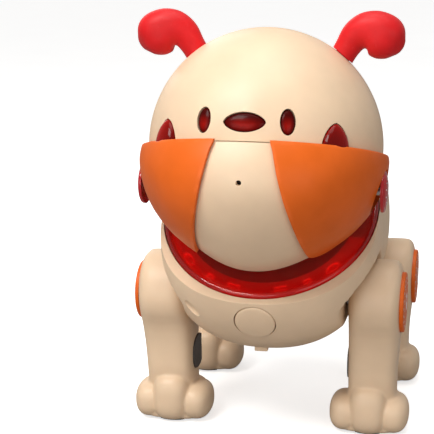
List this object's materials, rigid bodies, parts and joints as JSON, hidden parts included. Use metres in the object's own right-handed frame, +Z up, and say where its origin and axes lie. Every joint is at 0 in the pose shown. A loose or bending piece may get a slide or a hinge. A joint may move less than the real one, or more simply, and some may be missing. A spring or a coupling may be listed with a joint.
{
  "type": "robot dog toy",
  "caption": "Robot bulldog toy with a round head on a clear red collar, hinged muzzle, turning ears and geared swinging legs.",
  "frame": {"origin": "on the floor, at the middle of the toy's length and width", "axes": "+Z up, the dog faces -Y, its left side is +X"},
  "size_m": [0.1412, 0.1864, 0.2101],
  "materials": {
    "cream": "satin moulded plastic",
    "orange": "satin moulded plastic",
    "red_rubber": "soft matte",
    "red_clear": "clear tinted, polished",
    "dark": "moulded",
    "rubber": "matte",
    "steel": "drawn",
    "white_nylon": "moulded",
    "pcb": "coated board",
    "black": "moulded",
    "battery": "printed sleeve"
  },
  "bodies": {
    "torso": {"torso_front_shell": "cream", "torso_rear_shell": "cream", "chest_button_switch": "black", "collar_ring": "red_clear", "collar_lamp_board": "pcb", "neck_bearing": "dark", "front_motor": "steel", "front_gear_frame": "dark", "rear_motor": "steel", "rear_gear_frame": "dark", "battery_tray": "dark", "battery_cell_1": "battery", "battery_cell_2": "battery", "battery_cell_3": "battery", "power_switch_body": "black", "main_board": "pcb", "speaker": "black"},
    "chest_button": {"chest_button": "cream"},
    "head": {"neck_post": "dark", "head_dome": "cream", "face_light_guide": "red_clear", "head_bowl": "cream", "jaw_pin_right": "steel", "jaw_pin_left": "steel", "face_lamp_board": "pcb"},
    "jaw": {"muzzle_shell": "cream", "microphone": "black", "jowl_right": "orange", "jowl_left": "orange", "cheek_cap_right": "red_clear", "cheek_cap_left": "red_clear", "fang_left": "red_clear", "fang_right": "red_clear"},
    "ear_left": {"ear_left": "red_rubber"},
    "ear_right": {"ear_right": "red_rubber"},
    "front_legs": {"front_drive_gear": "white_nylon", "front_hip_shaft": "steel", "front_leg_right": "cream", "front_leg_left": "cream", "front_leg_cover_right": "dark", "front_leg_cover_left": "dark", "front_hip_disc_right": "orange", "front_hip_disc_left": "orange", "front_sole_right": "rubber", "front_sole_left": "rubber"},
    "front_pinion": {"front_motor_pinion": "white_nylon"},
    "rear_legs": {"rear_drive_gear": "white_nylon", "rear_hip_shaft": "steel", "rear_leg_right": "cream", "rear_leg_left": "cream", "rear_leg_cover_right": "dark", "rear_leg_cover_left": "dark", "rear_hip_disc_right": "orange", "rear_hip_disc_left": "orange", "rear_sole_right": "rubber", "rear_sole_left": "rubber"},
    "rear_pinion": {"rear_motor_pinion": "white_nylon"},
    "battery_door": {"battery_door": "cream", "battery_door_screw": "steel"},
    "power_switch": {"power_switch_knob": "dark"}
  },
  "joints": [
    {"name": "head_turn", "type": "hinge", "parent": "torso", "child": "head", "pos_m": [0, -0.0072, 0.1192], "axis": [0, -0.6088, 0.7934], "range_deg": [-18, 18]},
    {"name": "jaw_open", "type": "hinge", "parent": "head", "child": "jaw", "pos_m": [0, -0.03808, 0.12838], "axis": [1, 0, 0], "range_deg": [0, 7]},
    {"name": "ear_left_turn", "type": "hinge", "parent": "head", "child": "ear_left", "pos_m": [0.03527, -0.02059, 0.18925], "axis": [0.6298, 0.1337, 0.7652], "range_deg": [-20, 20]},
    {"name": "ear_right_turn", "type": "hinge", "parent": "head", "child": "ear_right", "pos_m": [-0.03527, -0.02059, 0.18925], "axis": [-0.6298, 0.1337, 0.7652], "range_deg": [-20, 20]},
    {"name": "chest_button_press", "type": "slide", "parent": "torso", "child": "chest_button", "axis": [0, 0.8949, 0.4462], "range_m": [0, 0.001], "stiffness_N_per_m": 600},
    {"name": "front_legs_swing", "type": "hinge", "parent": "torso", "child": "front_legs", "pos_m": [0, -0.01267, 0.0675], "axis": [1, 0, 0], "range_deg": [-22, 22]},
    {"name": "rear_legs_swing", "type": "hinge", "parent": "torso", "child": "rear_legs", "pos_m": [0, 0.07013, 0.0586], "axis": [1, 0, 0], "range_deg": [-22, 22]},
    {"name": "front_pinion_spin", "type": "hinge", "parent": "torso", "child": "front_pinion", "pos_m": [0, 0.00253, 0.0675], "axis": [1, 0, 0], "range_deg": [-40, 40]},
    {"name": "rear_pinion_spin", "type": "hinge", "parent": "torso", "child": "rear_pinion", "pos_m": [0, 0.07013, 0.0738], "axis": [1, 0, 0], "range_deg": [-40, 40]},
    {"name": "power_switch_slide", "type": "slide", "parent": "torso", "child": "power_switch", "axis": [0, 1, 0], "range_m": [0, 0.0028]},
    {"name": "battery_door_lift", "type": "slide", "parent": "torso", "child": "battery_door", "axis": [0, 0, -1], "range_m": [0, 0.03]}
  ],
  "couplings": [
    {"joint": "front_pinion_spin", "follows": "front_legs_swing", "ratio": -1.6667},
    {"joint": "rear_pinion_spin", "follows": "rear_legs_swing", "ratio": -1.6667}
  ]
}
